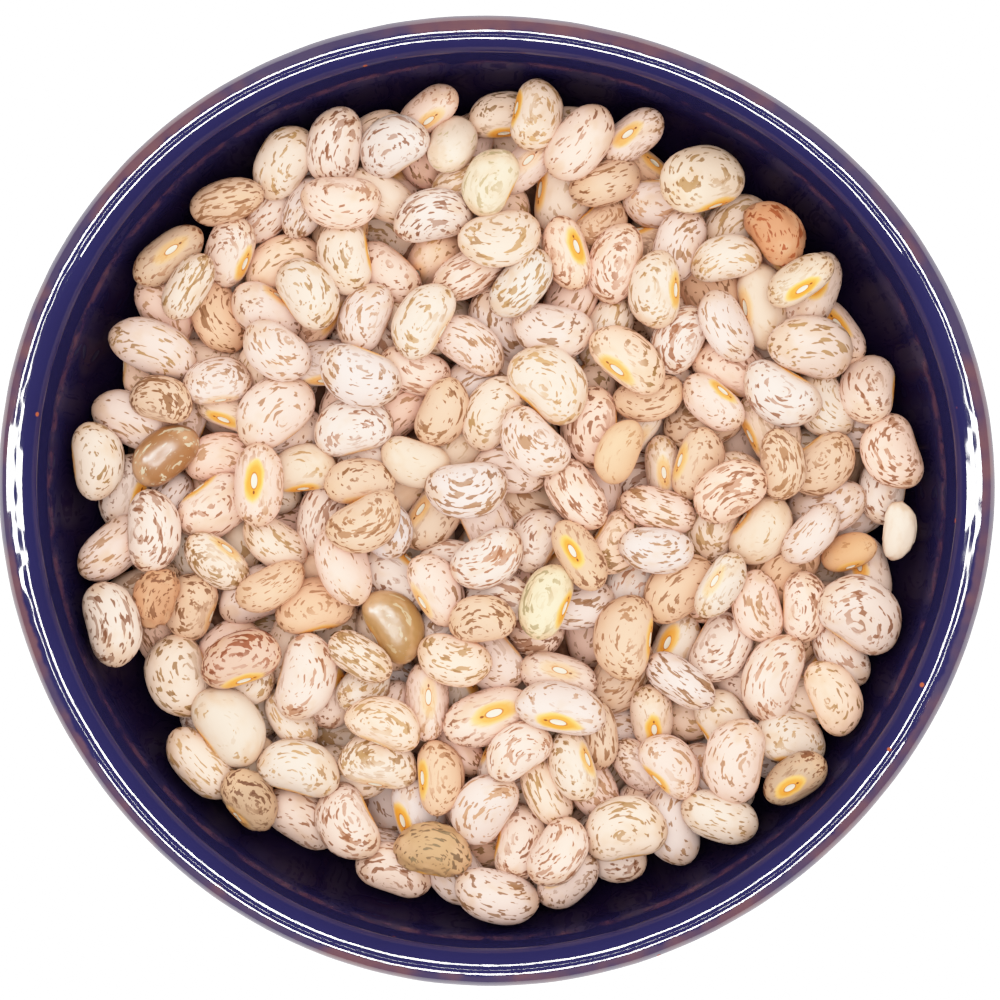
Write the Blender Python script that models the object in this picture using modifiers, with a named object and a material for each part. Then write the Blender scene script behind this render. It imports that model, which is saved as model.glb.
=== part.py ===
"""A hand-made, glazed earthenware bowl heaped with dried pinto beans.

Two solids: the bowl, turned and then pushed slightly out of round, and the
heap, a core that fills the bowl with the beans that show fused on to it.
Metres, +Z up, origin at the centre of the foot, X along the bowl's longer way.
"""

import math

import bmesh
import bpy
import numpy as np
from mathutils import Matrix, Vector

# Bowl: a hollow and an outside of like curve, joined by a round lip
RIM_RADIUS = 0.0790
BOWL_HEIGHT = 0.0560
LIP_HALF_WIDTH = 0.0031
FLOOR = 0.0072
HOLLOW_POWER = 2.3
OUTSIDE_IN_FROM_LIP = 0.0011
FOOT_RADIUS = 0.0400
FOOT_HEIGHT = 0.0040
FOOT_RING = 0.0070
FOOT_RECESS = 0.0018
FOOT_EDGE = 0.0008
BOWL_STEPS = 60

# How far the rim is out of round, as shares of its radius, and where it stands out most
OVAL_SHARE = 0.0137
OVAL_HEADING = math.radians(-5.8)
THREE_LOBE_SHARE = 0.0105
THREE_LOBE_HEADING = math.radians(21.0)

# Heap: its crown under the rim, and the core that the beans are fused on to
HEAP_CENTRE_BELOW_RIM = 0.0128
HEAP_EDGE_BELOW_RIM = 0.0165
WALL_GAP = 0.0008
CORE_STEPS = 30
CORE_RINGS = 8
CORE_BELOW_HEAP = 0.0035
CORE_AVERAGED_OVER = 0.0065
BEANS_FUSED = 195
BEAN_SEGMENTS = 6
BEAN_RINGS = 3
BEAN_SWELL = 1.02

# Beans: length, and width and thickness as shares of it
BEAN_LENGTH = 0.0131
BEAN_LENGTH_SPREAD = 0.0011
BEAN_LENGTH_RANGE = (0.0102, 0.0158)
WIDTH_SHARE = 0.665
THICKNESS_SHARE = 0.550
SHARE_SPREAD = 0.030
BEAN_FULLNESS = 0.36
BEAN_CURL = 0.20
FLATTEST_OF_CURL = 0.4

# Pouring: beans come down on a bed, on a map of square cells
UNDER_BEANS = 270
TOP_BEANS = 95
BED_BELOW_HEAP = 0.0170
HEAP_SEED = 34
CELL = 0.0005
MAP_HALF_WIDTH = 0.0800
STENCIL_CELLS = 17
PLACES_TRIED = 60
SETTLING_STEPS = 90
STEP_CELLS = 2
LAST_SWING = math.radians(2)
FIRST_SWING = math.radians(11)
PRESSED_SHARE = 0.87
POURED_ROAM = 10
LAID_ROAM = 2
COVER_COST = 0.00012
CLEAR_OF_LIP = 0.0030
EDGEWISE_SHARE = 0.34
PITCH_SPREAD = math.radians(14)
ROLL_SPREAD = math.radians(26)

# Beans that the eye picks out: millimetres from the middle, heading and roll in degrees, length in
# millimetres. Roll 0 lies on a broad side, and -90 turns the seed's eye up.
LANDMARK_BEANS = {
    "brown_flaked": (-53.7, 7.8, 18, 15, 12.6),
    "olive_brown": (-16.5, -19.4, -62, -40, 13.2),
    "plain_orange": (18.8, 9.2, 62, 30, 11.4),
    "small_orange": (59.2, -9.5, -50, 20, 9.8),
    "peeled_half": (65.5, -4.2, -62, 35, 12.0),
    "pale_cream": (-6.7, 57.4, -80, 10, 13.0),
    "pale_green": (-1.1, 52.9, 55, 0, 11.8),
    "yellow_green": (7.0, -15.7, 60, -50, 13.0),
    "red_eyed_tan": (-55.6, 39.4, 50, -70, 14.0),
    "orange_streaked": (46.6, 43.0, -68, 40, 13.0),
    "wrinkled_tan": (-11.6, -58.5, 8, 10, 13.2),
    "split_coat": (-41.3, -48.0, -40, -50, 12.6),
    "wrinkled_orange": (-54.9, -15.0, 65, 60, 11.0),
    "red_mottled": (-41.0, -27.0, 5, -50, 14.0),
    "broad_pink_left": (-55.4, 25.8, -6, 5, 15.4),
    "broad_pink_right": (50.3, 25.8, -12, 5, 15.8),
    "broad_cream": (32.4, 51.6, 47, -40, 15.8),
    "broad_speckled": (-62.1, -19.0, -43, 8, 14.6),
    "broad_marked": (59.6, -19.3, -25, 0, 15.2),
    "dark_ended": (13.9, -10.0, -72, -65, 13.4),
    "golden_eyed": (50.7, 36.8, 62, -70, 12.6),
    "tan_eyed": (49.5, -44.6, 60, -75, 12.4),
}

NAVY = (0.013, 0.011, 0.045)
BEAN_CREAM = (0.84, 0.68, 0.52)


def out_of_round(heading):
    """Share by which the rim stands out from a true circle at this heading."""
    oval = OVAL_SHARE * np.cos(2 * (heading - OVAL_HEADING))
    lobes = THREE_LOBE_SHARE * np.cos(3 * (heading - THREE_LOBE_HEADING))
    return oval + lobes


def rim_middle():
    """Middle of the box round the uneven rim, which the bowl is centred on."""
    heading = np.radians(np.arange(0, 360, 1.0))
    radius = RIM_RADIUS * (1 + out_of_round(heading))
    x, y = radius * np.cos(heading), radius * np.sin(heading)
    return (x.min() + x.max()) / 2, (y.min() + y.max()) / 2


def push_out_of_round(mesh):
    """Bends a turned mesh to the bowl's uneven round: none at the foot, all of it at the rim."""
    middle_x, middle_y = rim_middle()
    for vertex in mesh.vertices:
        x, y, z = vertex.co
        height = z / BOWL_HEIGHT
        share = 1 + height * out_of_round(math.atan2(y, x))
        vertex.co.x = x * share - height * middle_x
        vertex.co.y = y * share - height * middle_y


def hollow_height(radius):
    """Height of the hollow's wall over a circle of this radius."""
    lip_bottom = BOWL_HEIGHT - LIP_HALF_WIDTH
    hollow_radius = RIM_RADIUS - 2 * LIP_HALF_WIDTH
    depth = lip_bottom - FLOOR
    inward = np.clip(radius / hollow_radius, 0, 1) ** HOLLOW_POWER
    return lip_bottom - depth * (1 - inward) ** (1 / HOLLOW_POWER)


def room_to_wall(points):
    """How far each point of an array lies inside the hollow's wall, sideways."""
    lip_bottom = BOWL_HEIGHT - LIP_HALF_WIDTH
    hollow_radius = RIM_RADIUS - 2 * LIP_HALF_WIDTH
    middle_x, middle_y = rim_middle()
    height = points[:, 2] / BOWL_HEIGHT
    x, y = points[:, 0] + height * middle_x, points[:, 1] + height * middle_y
    below_lip = np.clip((lip_bottom - points[:, 2]) / (lip_bottom - FLOOR), 0, 1)
    wall = hollow_radius * (1 - below_lip**HOLLOW_POWER) ** (1 / HOLLOW_POWER)
    return wall * (1 + height * out_of_round(np.arctan2(y, x))) - np.hypot(x, y)


def hollow_profile(points=11):
    """The hollow from the middle of its floor up to the lip."""
    lip_bottom = BOWL_HEIGHT - LIP_HALF_WIDTH
    hollow_radius = RIM_RADIUS - 2 * LIP_HALF_WIDTH
    depth = lip_bottom - FLOOR
    profile = []
    for t in np.linspace(0, math.pi / 2, points):
        radius = hollow_radius * math.sin(t) ** (2 / HOLLOW_POWER)
        height = lip_bottom - depth * math.cos(t) ** (2 / HOLLOW_POWER)
        profile.append((radius, height))
    return profile


def lip_profile(points=7):
    """The rounded lip, from the hollow's side over the top to just under its outside."""
    middle = RIM_RADIUS - LIP_HALF_WIDTH
    bottom = BOWL_HEIGHT - LIP_HALF_WIDTH
    return [
        (middle + LIP_HALF_WIDTH * math.cos(t), bottom + LIP_HALF_WIDTH * math.sin(t))
        for t in np.linspace(math.pi, -math.pi / 6, points + 1)[1:]
    ]


def outside_profile(points=6):
    """The outside wall, of the hollow's curve, from under the lip down to the foot."""
    profile = []
    lip_bottom = BOWL_HEIGHT - LIP_HALF_WIDTH
    outer_radius = RIM_RADIUS - OUTSIDE_IN_FROM_LIP
    depth = lip_bottom - FOOT_HEIGHT
    first = math.radians(83)
    last = math.asin((FOOT_RADIUS / outer_radius) ** (HOLLOW_POWER / 2))
    for t in np.linspace(first, last, points):
        radius = outer_radius * math.sin(t) ** (2 / HOLLOW_POWER)
        height = lip_bottom - depth * math.cos(t) ** (2 / HOLLOW_POWER)
        profile.append((radius, height))
    return profile


def foot_profile():
    """The foot ring with its small worn edge, and the shallow recess inside it."""
    inner = FOOT_RADIUS - FOOT_RING
    return [
        (FOOT_RADIUS, FOOT_EDGE),
        (FOOT_RADIUS - FOOT_EDGE, 0.0),
        (inner + FOOT_EDGE, 0.0),
        (inner, FOOT_RECESS),
        (0.0, FOOT_RECESS),
    ]


def material(name, colour, roughness):
    made = bpy.data.materials.new(name)
    made.use_nodes = True
    shader = made.node_tree.nodes["Principled BSDF"]
    shader.inputs["Base Color"].default_value = (*colour, 1.0)
    shader.inputs["Roughness"].default_value = roughness
    shader.inputs["Metallic"].default_value = 0.0
    return made


def turned(name, profile, steps, collection):
    """A profile of (radius, height) turned about Z, with its Screw modifier applied."""
    mesh = bpy.data.meshes.new(name + "_profile")
    edges = [(i, i + 1) for i in range(len(profile) - 1)]
    mesh.from_pydata([(radius, 0.0, height) for radius, height in profile], edges, [])
    guide = bpy.data.objects.new(name + "_profile", mesh)
    collection.objects.link(guide)
    screw = guide.modifiers.new("Turn", "SCREW")
    screw.steps = steps
    screw.render_steps = steps
    screw.use_merge_vertices = True
    screw.merge_threshold = 0.00001
    bpy.context.view_layer.update()
    graph = bpy.context.evaluated_depsgraph_get()
    solid = bpy.data.meshes.new_from_object(guide.evaluated_get(graph))
    bpy.data.objects.remove(guide)
    solid.name = name
    made = bpy.data.objects.new(name, solid)
    collection.objects.link(made)
    return made


def make_bowl(collection):
    profile = hollow_profile() + lip_profile() + outside_profile() + foot_profile()
    bowl = turned("bowl", profile, BOWL_STEPS, collection)
    push_out_of_round(bowl.data)
    bowl.data.shade_smooth()
    bowl.data.set_sharp_from_angle(angle=math.radians(40))
    bowl.data.materials.append(material("navy_glaze", NAVY, 0.12))
    return bowl


def heap_height(radius):
    """Height of the heap's gently crowned top at this radius."""
    hollow_radius = RIM_RADIUS - 2 * LIP_HALF_WIDTH
    drop = HEAP_EDGE_BELOW_RIM - HEAP_CENTRE_BELOW_RIM
    return BOWL_HEIGHT - HEAP_CENTRE_BELOW_RIM - drop * (radius / hollow_radius) ** 2


def turn_matrix(axis, angle):
    """Rotation matrix about an axis, as an array."""
    return np.array(Matrix.Rotation(angle, 3, Vector(axis)))


def attitude_of(heading, pitch, roll):
    """A bean's length turned to its heading and tipped, and then the bean rolled about it."""
    level = turn_matrix((0, 0, 1), heading) @ turn_matrix((0, 1, 0), pitch)
    return level @ turn_matrix((1, 0, 0), roll)


def bean_size(chance, length=None):
    """Half the length, width and thickness of one bean."""
    drawn = np.clip(chance.normal(BEAN_LENGTH, BEAN_LENGTH_SPREAD), *BEAN_LENGTH_RANGE)
    length = length or drawn
    width = length * chance.normal(WIDTH_SHARE, SHARE_SPREAD)
    thickness = length * chance.normal(THICKNESS_SHARE, SHARE_SPREAD)
    return np.array([length, width, thickness]) / 2


def drawn_attitude(chance):
    """Most beans lie on a broad side, and some stand on an edge."""
    heading = chance.uniform(0, 2 * math.pi)
    pitch = chance.normal(0, PITCH_SPREAD)
    edgewise = chance.random() < EDGEWISE_SHARE
    roll = chance.normal(math.radians(90) if edgewise else 0, ROLL_SPREAD)
    return attitude_of(heading, pitch, -roll if chance.random() < 0.5 else roll)


def ellipsoid_skins(attitude, half, dx, dy):
    """Lower and upper height of a turned ellipsoid over offsets from its centre, and where it is."""
    form = attitude @ np.diag(1 / half**2) @ attitude.T
    across = form[0, 2] * dx + form[1, 2] * dy
    level = form[0, 0] * dx**2 + 2 * form[0, 1] * dx * dy + form[1, 1] * dy**2 - 1
    under_root = across**2 - form[2, 2] * level
    inside = under_root > 0
    root = np.sqrt(np.where(inside, under_root, 0))
    return inside, (-across - root) / form[2, 2], (-across + root) / form[2, 2]


class Heap:
    """Beans let down one by one on a height map, each settling where it comes to lie lowest."""

    def __init__(self):
        self.chance = np.random.default_rng(HEAP_SEED)
        self.middle = int(MAP_HALF_WIDTH / CELL)
        self.along = np.arange(-self.middle, self.middle + 1) * CELL
        x, y = np.meshgrid(self.along, self.along, indexing="ij")
        wall, self.radius = self.hollow_map(x, y)
        self.level = heap_height(self.radius)
        self.surface = np.maximum(wall, self.level - BED_BELOW_HEAP)
        self.owner = np.full(x.shape, -1)
        self.kept_clear = np.zeros(x.shape, dtype=bool)
        near = np.arange(-STENCIL_CELLS, STENCIL_CELLS + 1) * CELL
        self.dx, self.dy = np.meshgrid(near, near, indexing="ij")
        view = np.lib.stride_tricks.sliding_window_view
        self.around = view(self.surface, self.dx.shape)
        self.clear_around = view(self.kept_clear, self.dx.shape)
        turn, tilt = np.meshgrid(np.radians(range(0, 360, 20)), np.radians(range(-90, 91, 15)))
        ring = np.cos(tilt)
        self.skin = np.stack([np.sin(tilt), ring * np.cos(turn), ring * np.sin(turn)], -1).reshape(-1, 3)
        self.beans = []
        self.landmarks = {}

    @staticmethod
    def hollow_map(x, y):
        """Height of the bowl's wall over each cell, and the cell's radius on a true circle."""
        middle_x, middle_y = rim_middle()
        fill_share = 1 - HEAP_EDGE_BELOW_RIM / BOWL_HEIGHT
        px, py = x + fill_share * middle_x, y + fill_share * middle_y
        round_share = 1 + fill_share * out_of_round(np.arctan2(py, px))
        radius = np.hypot(px, py) / round_share
        wall = hollow_height(radius + WALL_GAP)
        outside = radius > RIM_RADIUS - 2 * LIP_HALF_WIDTH - WALL_GAP
        return np.where(outside, BOWL_HEIGHT * 2, wall), radius

    def in_map(self, cell):
        """A cell number kept a bean's reach inside the map."""
        return np.clip(cell, STENCIL_CELLS, 2 * self.middle - STENCIL_CELLS)

    def cell(self, distance):
        """The map's cell at a distance from the middle."""
        return self.in_map(self.middle + np.rint(distance / CELL).astype(int))

    def resting_height(self, i, j, skins):
        """Height at which a bean's centre comes to rest over a cell, and what it would hide."""
        inside, lower, _ = skins
        held = self.around[i - STENCIL_CELLS, j - STENCIL_CELLS] - lower
        height = np.where(inside, held, -1.0).max(axis=(-1, -2))
        hidden = (self.clear_around[i - STENCIL_CELLS, j - STENCIL_CELLS] & inside).sum(axis=(-1, -2))
        return height, height + hidden * COVER_COST

    def settle(self, start_i, start_j, attitude, half, roam):
        """Nudges a bean's place and attitude, keeps what lowers it, and lays it on the map."""
        pressed = half * PRESSED_SHARE
        i, j = start_i, start_j
        skins = ellipsoid_skins(attitude, pressed, self.dx, self.dy)
        height, cost = self.resting_height(i, j, skins)
        for step in range(SETTLING_STEPS):
            calm = 1 - step / SETTLING_STEPS
            angle = self.chance.normal(0, LAST_SWING + (FIRST_SWING - LAST_SWING) * calm)
            swing = turn_matrix(self.chance.normal(size=3), angle)
            step_i, step_j = self.chance.integers(-STEP_CELLS, STEP_CELLS + 1, 2)
            new_i = self.in_map(np.clip(i + step_i, start_i - roam, start_i + roam))
            new_j = self.in_map(np.clip(j + step_j, start_j - roam, start_j + roam))
            tried = swing @ attitude
            new_skins = ellipsoid_skins(tried, pressed, self.dx, self.dy)
            new_height, new_cost = self.resting_height(new_i, new_j, new_skins)
            if new_cost < cost:
                i, j, attitude, skins = new_i, new_j, tried, new_skins
                height, cost = new_height, new_cost
        inside, _, upper = ellipsoid_skins(attitude, half, self.dx, self.dy)
        rows = slice(i - STENCIL_CELLS, i + STENCIL_CELLS + 1)
        columns = slice(j - STENCIL_CELLS, j + STENCIL_CELLS + 1)
        patch = self.surface[rows, columns]
        patch[inside] = np.maximum(patch, height + upper)[inside]
        self.owner[rows, columns][inside] = len(self.beans)
        centre = np.array([self.along[i], self.along[j], float(height)])
        short = WALL_GAP - room_to_wall(centre + self.skin * half @ attitude.T).min()
        if short > 0:
            centre[:2] *= 1 - short / np.hypot(*centre[:2])
        self.beans.append((centre, attitude, half))
        return rows, columns, inside

    def pour(self, count):
        """Beans dropped where the heap is lowest, out of a few places tried for each."""
        room = RIM_RADIUS - 2 * LIP_HALF_WIDTH - CLEAR_OF_LIP
        for _ in range(count):
            half = bean_size(self.chance)
            attitude = drawn_attitude(self.chance)
            skins = ellipsoid_skins(attitude, half * PRESSED_SHARE, self.dx, self.dy)
            reach = room * np.sqrt(self.chance.random(PLACES_TRIED))
            heading = self.chance.uniform(0, 2 * math.pi, PLACES_TRIED)
            i, j = self.cell(reach * np.cos(heading)), self.cell(reach * np.sin(heading))
            cost = self.resting_height(i, j, skins)[1] - self.level[i, j]
            best = np.argmin(cost)
            self.settle(int(i[best]), int(j[best]), attitude, half, POURED_ROAM)

    def lay(self, name, x, y, heading, roll, length):
        """One bean laid at a stated place, which those poured after it keep off."""
        half = bean_size(self.chance, length / 1000)
        attitude = attitude_of(math.radians(heading), 0.0, math.radians(roll))
        i, j = int(self.cell(x / 1000)), int(self.cell(y / 1000))
        self.landmarks[len(self.beans)] = name
        rows, columns, inside = self.settle(i, j, attitude, half, LAID_ROAM)
        self.kept_clear[rows, columns] |= inside

    def cells_seen(self):
        """How many of the map's cells each bean shows from above."""
        return np.bincount(self.owner[self.owner >= 0], minlength=len(self.beans))


def poured_heap():
    """The whole heap: most of its beans, then the landmarks, then the last ones between them."""
    heap = Heap()
    heap.pour(UNDER_BEANS)
    for name, place in LANDMARK_BEANS.items():
        heap.lay(name, *place)
    heap.pour(TOP_BEANS)
    return heap


def bean_point(x, y, z, half):
    """A point of the unit sphere moved to a bean: full ends, and a flatter side at the seed's eye."""
    fullness = 1 + BEAN_FULLNESS * (x**2 - x**4)
    curl = BEAN_CURL * half[1] * (x**2 - FLATTEST_OF_CURL)
    return half[0] * x, half[1] * y * fullness - curl, half[2] * z * fullness


def bean_mesh(half):
    """One bean with few sides, its poles at its tips."""
    shape = bmesh.new()
    bmesh.ops.create_uvsphere(shape, u_segments=BEAN_SEGMENTS, v_segments=BEAN_RINGS, radius=1.0)
    for vertex in shape.verts:
        across, along, up = vertex.co * BEAN_SWELL
        vertex.co = bean_point(up, across, along, half)
    mesh = bpy.data.meshes.new("bean")
    shape.to_mesh(mesh)
    shape.free()
    return mesh


def core_profile():
    """The heap's bare core: a crown over the filled hollow, a gap inside the wall.

    Returns the profile and the radius where the crown meets the wall."""
    edge_radius = next(
        radius
        for radius in np.linspace(RIM_RADIUS, 0, 400)
        if hollow_height(radius + WALL_GAP) + WALL_GAP < heap_height(radius) - CORE_BELOW_HEAP
    )
    crown = [
        (radius, float(heap_height(radius)) - CORE_BELOW_HEAP)
        for radius in np.linspace(0, edge_radius, CORE_RINGS)
    ]
    sides = [
        (radius, max(FLOOR, float(hollow_height(radius + WALL_GAP))) + WALL_GAP)
        for radius in edge_radius * np.sin(np.linspace(math.pi / 2, 0, CORE_RINGS))
    ]
    return crown + sides, edge_radius


def follow_the_beans(core, heap, edge_radius):
    """Raises and lowers the core's crown with the beans that lie on it."""
    x, y = np.meshgrid(heap.along, heap.along, indexing="ij")
    covered = heap.owner >= 0
    for vertex in core.vertices:
        radius = math.hypot(vertex.co.x, vertex.co.y)
        crown = heap_height(radius) - CORE_BELOW_HEAP
        if vertex.co.z < crown - 2 * CELL or radius > edge_radius - CORE_AVERAGED_OVER:
            continue
        near = covered & (np.hypot(x - vertex.co.x, y - vertex.co.y) < CORE_AVERAGED_OVER)
        vertex.co.z = float(heap.surface[near].mean()) - CORE_BELOW_HEAP


def outer_shell(mesh):
    """Keeps the largest closed shell, which fills sealed hollows and drops loose scraps."""
    shape = bmesh.new()
    shape.from_mesh(mesh)
    shape.faces.ensure_lookup_table()
    shells, met = [], set()
    for face in shape.faces:
        if face.index in met:
            continue
        met.add(face.index)
        shell, waiting = [], [face]
        while waiting:
            current = waiting.pop()
            shell.append(current)
            for edge in current.edges:
                for neighbour in edge.link_faces:
                    if neighbour.index not in met:
                        met.add(neighbour.index)
                        waiting.append(neighbour)
        shells.append(shell)
    largest = max(shells, key=len)
    spare = [face for shell in shells if shell is not largest for face in shell]
    bmesh.ops.delete(shape, geom=spare, context="FACES")
    loose = [vertex for vertex in shape.verts if not vertex.link_faces]
    bmesh.ops.delete(shape, geom=loose, context="VERTS")
    shape.to_mesh(mesh)
    shape.free()


def make_heap(collection):
    heap = poured_heap()
    profile, edge_radius = core_profile()
    core = turned("beans", profile, CORE_STEPS, collection)
    push_out_of_round(core.data)
    follow_the_beans(core.data, heap, edge_radius)
    pieces = bpy.data.collections.new("loose_beans")
    bpy.context.scene.collection.children.link(pieces)
    most_seen = np.argsort(-heap.cells_seen())[:BEANS_FUSED]
    for number in sorted(most_seen):
        centre, attitude, half = heap.beans[number]
        place = Matrix(attitude.tolist()).to_4x4()
        place.translation = centre.tolist()
        bean = bpy.data.objects.new("bean", bean_mesh(half))
        bean.matrix_world = place
        pieces.objects.link(bean)
    fuse = core.modifiers.new("Fuse", "BOOLEAN")
    fuse.operation = "UNION"
    fuse.operand_type = "COLLECTION"
    fuse.collection = pieces
    fuse.solver = "EXACT"
    bpy.context.view_layer.update()
    graph = bpy.context.evaluated_depsgraph_get()
    fused = bpy.data.meshes.new_from_object(core.evaluated_get(graph))
    core.modifiers.clear()
    core.data = fused
    outer_shell(core.data)
    for bean in list(pieces.objects):
        bpy.data.objects.remove(bean)
    bpy.data.collections.remove(pieces)
    core.data.materials.clear()
    core.data.materials.append(material("pinto_bean", BEAN_CREAM, 0.5))
    return core


def main():
    for leftover in list(bpy.data.objects):
        bpy.data.objects.remove(leftover)
    parts = bpy.data.collections.new("bowl_of_beans")
    bpy.context.scene.collection.children.link(parts)
    make_bowl(parts)
    make_heap(parts)


main()
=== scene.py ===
# %% [markdown]
# # A bowl of dried pinto beans
# The bowl and its heap come in as two plain solids at their real size, the fixed frame of this
# lesson. The frame says where everything is, and the cells below give it its looks: the glazed
# bowl first, then the beans one by one, and at the end the light, the floor and the camera.

# %% Open the fixed frame
import math

import bpy
import numpy as np
from mathutils import Matrix, Vector


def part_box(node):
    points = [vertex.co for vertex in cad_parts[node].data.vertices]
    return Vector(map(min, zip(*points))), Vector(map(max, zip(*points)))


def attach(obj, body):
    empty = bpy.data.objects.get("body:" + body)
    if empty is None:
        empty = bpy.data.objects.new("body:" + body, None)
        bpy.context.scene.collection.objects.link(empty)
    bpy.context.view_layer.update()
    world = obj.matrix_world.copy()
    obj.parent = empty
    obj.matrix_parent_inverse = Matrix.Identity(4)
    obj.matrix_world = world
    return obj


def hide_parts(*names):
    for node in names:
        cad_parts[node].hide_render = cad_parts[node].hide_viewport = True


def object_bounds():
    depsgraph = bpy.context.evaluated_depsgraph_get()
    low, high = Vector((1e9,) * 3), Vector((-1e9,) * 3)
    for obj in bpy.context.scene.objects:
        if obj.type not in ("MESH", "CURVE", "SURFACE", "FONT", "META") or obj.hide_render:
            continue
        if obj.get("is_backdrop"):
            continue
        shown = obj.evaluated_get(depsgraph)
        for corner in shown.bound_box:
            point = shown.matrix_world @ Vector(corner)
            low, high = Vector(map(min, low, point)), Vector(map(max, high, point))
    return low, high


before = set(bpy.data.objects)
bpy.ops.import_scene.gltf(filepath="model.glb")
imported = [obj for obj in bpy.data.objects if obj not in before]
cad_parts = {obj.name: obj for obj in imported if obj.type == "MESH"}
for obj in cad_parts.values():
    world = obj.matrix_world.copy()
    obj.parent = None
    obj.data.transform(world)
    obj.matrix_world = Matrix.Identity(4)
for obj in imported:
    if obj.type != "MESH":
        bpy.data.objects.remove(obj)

cad_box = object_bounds()
print("box of the solids, mm:", [[round(1000 * value, 2) for value in corner] for corner in cad_box])

# %% [markdown]
# ## The view
# The photograph looks straight down from a little over half a metre above the rim. A long lens from
# there shows the bowl as wide as its frame. The camera comes first, so that each later step can
# be looked at through it.

# %% Place the camera over the bowl
CAMERA_PLACE = (0.0005, 0.0001, 0.653)
CAMERA_LENS = 134.5
SENSOR_WIDTH = 36.0

camera = bpy.data.cameras.new("over_the_bowl")
camera.lens = CAMERA_LENS
camera.sensor_width = SENSOR_WIDTH
viewpoint = bpy.data.objects.new("over_the_bowl", camera)
viewpoint.location = CAMERA_PLACE
bpy.context.scene.collection.objects.link(viewpoint)
bpy.context.scene.camera = viewpoint
print("camera stands", CAMERA_PLACE[2], "m over the table")

# %% [markdown]
# ## The bowl's form
# A potter throws such a bowl on a wheel and lifts it off while it is soft, which leaves it a little
# out of round. Its section is a hollow, a round lip, an outside wall and a foot ring. One line
# turned about the middle makes it, and a share of each radius bends it out of round. The same
# measures made the solid, so the fine surface lies where the solid's does.

# %% Write down the bowl's measures
RIM_RADIUS = 0.0790
BOWL_HEIGHT = 0.0560
LIP_HALF_WIDTH = 0.0031
FLOOR = 0.0072
HOLLOW_POWER = 2.3
OUTSIDE_IN_FROM_LIP = 0.0011
FOOT_RADIUS = 0.0400
FOOT_HEIGHT = 0.0040
FOOT_RING = 0.0070
FOOT_RECESS = 0.0018
FOOT_EDGE = 0.0008
OVAL_SHARE = 0.0137
OVAL_HEADING = math.radians(-5.8)
THREE_LOBE_SHARE = 0.0105
THREE_LOBE_HEADING = math.radians(21.0)

LIP_BOTTOM = BOWL_HEIGHT - LIP_HALF_WIDTH
HOLLOW_RADIUS = RIM_RADIUS - 2 * LIP_HALF_WIDTH
HOLLOW_DEPTH = LIP_BOTTOM - FLOOR

low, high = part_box("bowl")
print("bowl in the frame, mm:", [round(1000 * side, 1) for side in high - low])


# %% Bend it out of round
def out_of_round(heading):
    """Share by which the rim stands out from a true circle at this heading."""
    oval = OVAL_SHARE * np.cos(2 * (heading - OVAL_HEADING))
    lobes = THREE_LOBE_SHARE * np.cos(3 * (heading - THREE_LOBE_HEADING))
    return oval + lobes


def rim_middle():
    """Middle of the box round the uneven rim, which the bowl is centred on."""
    heading = np.radians(np.arange(0, 360, 1.0))
    radius = RIM_RADIUS * (1 + out_of_round(heading))
    x, y = radius * np.cos(heading), radius * np.sin(heading)
    return (x.min() + x.max()) / 2, (y.min() + y.max()) / 2


def pushed_out_of_round(points):
    """Bends turned points to the bowl's uneven round: none at the foot, all of it at the rim."""
    middle_x, middle_y = rim_middle()
    x, y, z = points.T
    height = z / BOWL_HEIGHT
    share = 1 + height * out_of_round(np.arctan2(y, x))
    return np.stack([x * share - height * middle_x, y * share - height * middle_y, z], -1)


print("rim's middle, mm:", [round(1000 * value, 2) for value in rim_middle()])


# %% Draw the section
def hollow_height(radius):
    """Height of the hollow's wall over a circle of this radius."""
    inward = np.clip(radius / HOLLOW_RADIUS, 0, 1) ** HOLLOW_POWER
    return LIP_BOTTOM - HOLLOW_DEPTH * (1 - inward) ** (1 / HOLLOW_POWER)


def hollow_section(points):
    t = np.linspace(0, math.pi / 2, points)
    radius = HOLLOW_RADIUS * np.sin(t) ** (2 / HOLLOW_POWER)
    return np.stack([radius, LIP_BOTTOM - HOLLOW_DEPTH * np.cos(t) ** (2 / HOLLOW_POWER)], -1)


def arc_section(middle, radius, first, last, points):
    """A round stretch of the section about a middle point, between two angles in degrees."""
    t = np.radians(np.linspace(first, last, points))
    return np.stack([middle[0] + radius * np.cos(t), middle[1] + radius * np.sin(t)], -1)


def outside_section(points):
    outer_radius = RIM_RADIUS - OUTSIDE_IN_FROM_LIP
    last = math.asin((FOOT_RADIUS / outer_radius) ** (HOLLOW_POWER / 2))
    t = np.linspace(math.radians(83), last, points)
    height = LIP_BOTTOM - (LIP_BOTTOM - FOOT_HEIGHT) * np.cos(t) ** (2 / HOLLOW_POWER)
    return np.stack([outer_radius * np.sin(t) ** (2 / HOLLOW_POWER), height], -1)


def foot_section(points):
    """The foot ring's outer wall, its worn round edges, and the shallow recess inside it."""
    outer = arc_section((FOOT_RADIUS - FOOT_EDGE, FOOT_EDGE), FOOT_EDGE, 0, -90, points)
    inner_radius = FOOT_RADIUS - FOOT_RING + FOOT_EDGE
    inner = arc_section((inner_radius, FOOT_EDGE), FOOT_EDGE, -90, -180, points)
    recess = np.linspace((FOOT_RADIUS - FOOT_RING, FOOT_RECESS), (0.0, FOOT_RECESS), points)
    return np.vstack([outer, inner, recess])


lip_middle = (RIM_RADIUS - LIP_HALF_WIDTH, LIP_BOTTOM)
section = np.vstack([
    hollow_section(56),
    arc_section(lip_middle, LIP_HALF_WIDTH, 180, -30, 44)[1:],
    outside_section(40),
    foot_section(7),
])
print("points in the section:", len(section))


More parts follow.
